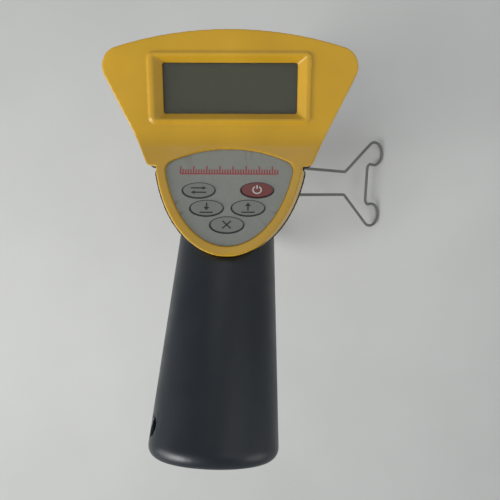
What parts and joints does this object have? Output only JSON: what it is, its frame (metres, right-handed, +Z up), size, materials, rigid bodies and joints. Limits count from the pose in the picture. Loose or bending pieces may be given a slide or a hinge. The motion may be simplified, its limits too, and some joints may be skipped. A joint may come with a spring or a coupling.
{
  "type": "measuring wheel",
  "caption": "Walking measuring wheel with a spoked wheel, telescoping pole, digital counter head, pistol grip and folding wire side stand.",
  "frame": {"origin": "where the tyre touches the ground", "axes": "+X along the axle towards the side stand, +Y the rolling direction away from the user, +Z up; the pole leans 4.5 degrees towards +X onto the stand"},
  "size_m": [0.2752, 0.3182, 0.8604],
  "materials": {
    "tyre": "worn matt",
    "wheel": "moulded",
    "steel": "zinc plated",
    "magnet": "nickel plated",
    "alloy": "anodised satin",
    "black_plastic": "fine texture",
    "yellow_plastic": "satin moulded",
    "housing": "satin moulded",
    "grip": "fine texture",
    "seal": "matt",
    "lens": "clear",
    "lcd": "grey green liquid crystal",
    "board": "solder mask",
    "label": "printed film",
    "grey_key": "printed film",
    "red_key": "printed film",
    "battery": "sleeve",
    "wire": "powder coated grey"
  },
  "bodies": {
    "wheel_fork": {"fork_leg_left": "alloy", "fork_leg_right": "alloy", "fork_crown": "black_plastic", "fork_bolts": "steel", "crown_bolt": "steel", "axle": "steel", "axle_nuts": "steel", "axle_washers": "steel", "hub_spacers": "steel", "pulse_sensor": "black_plastic", "sensor_screw": "steel", "sensor_lead": "seal", "lead_clips": "black_plastic", "lower_tube": "alloy", "tube_bush": "black_plastic", "clamp_collar": "black_plastic", "clamp_bolt": "steel", "lever_pin": "steel", "stand_bracket": "black_plastic", "bracket_screws": "steel"},
    "road_wheel": {"tyre": "tyre", "wheel": "wheel", "magnets": "magnet", "hub_bearings": "steel"},
    "side_stand": {"kickstand": "wire"},
    "flip_lever": {"clamp_lever": "yellow_plastic"},
    "head": {"upper_tube": "alloy", "glide_bush": "black_plastic", "front_cover": "yellow_plastic", "rear_housing": "housing", "cover_gasket": "seal", "cover_screws": "steel", "display_lens": "lens", "lcd_panel": "lcd", "main_board": "board", "buzzer": "black_plastic", "keypad_label": "label", "keypad_mat": "seal", "keypad_board": "board", "battery_holder": "black_plastic", "batteries": "battery", "battery_contacts": "steel", "socket_bolt": "steel", "grip": "grip"},
    "battery_door": {"battery_cover": "housing"},
    "unit_key_cap": {"unit_key": "grey_key"},
    "power_key_cap": {"power_key": "red_key"},
    "store_key_cap": {"store_key": "grey_key"},
    "recall_key_cap": {"recall_key": "grey_key"},
    "clear_key_cap": {"clear_key": "grey_key"}
  },
  "joints": [
    {"name": "wheel_spin", "type": "hinge", "parent": "wheel_fork", "child": "road_wheel", "pos_m": [0.0117, 0, 0.1587], "axis": [0.9969, 0, -0.0785], "continuous": true},
    {"name": "stand_fold", "type": "hinge", "parent": "wheel_fork", "child": "side_stand", "pos_m": [0.04907, 0, 0.17466], "axis": [-0.0314, -0.9995, 0], "range_deg": [0, 124]},
    {"name": "pole_slide", "type": "slide", "parent": "wheel_fork", "child": "head", "axis": [0.0785, 0, 0.9969], "range_m": [-0.07, 0.115]},
    {"name": "lever_flip", "type": "hinge", "parent": "wheel_fork", "child": "flip_lever", "pos_m": [0.07077, 0.016, 0.60328], "axis": [-0.0785, 0, -0.9969], "range_deg": [0, 100]},
    {"name": "battery_door_hinge", "type": "hinge", "parent": "head", "child": "battery_door", "pos_m": [0.0598, 0.0428, 0.76985], "axis": [0.9969, 0, -0.0785], "range_deg": [0, 90]},
    {"name": "unit_key_press", "type": "slide", "parent": "head", "child": "unit_key_cap", "axis": [-0.0651, -0.5577, -0.8275], "range_m": [0, 0.0006], "stiffness_N_per_m": 400, "springref_m": -0.0002},
    {"name": "power_key_press", "type": "slide", "parent": "head", "child": "power_key_cap", "axis": [-0.0651, -0.5577, -0.8275], "range_m": [0, 0.0006], "stiffness_N_per_m": 400, "springref_m": -0.0002},
    {"name": "store_key_press", "type": "slide", "parent": "head", "child": "store_key_cap", "axis": [-0.0651, -0.5577, -0.8275], "range_m": [0, 0.0006], "stiffness_N_per_m": 400, "springref_m": -0.0002},
    {"name": "recall_key_press", "type": "slide", "parent": "head", "child": "recall_key_cap", "axis": [-0.0651, -0.5577, -0.8275], "range_m": [0, 0.0006], "stiffness_N_per_m": 400, "springref_m": -0.0002},
    {"name": "clear_key_press", "type": "slide", "parent": "head", "child": "clear_key_cap", "axis": [-0.0651, -0.5577, -0.8275], "range_m": [0, 0.0006], "stiffness_N_per_m": 400, "springref_m": -0.0002}
  ]
}
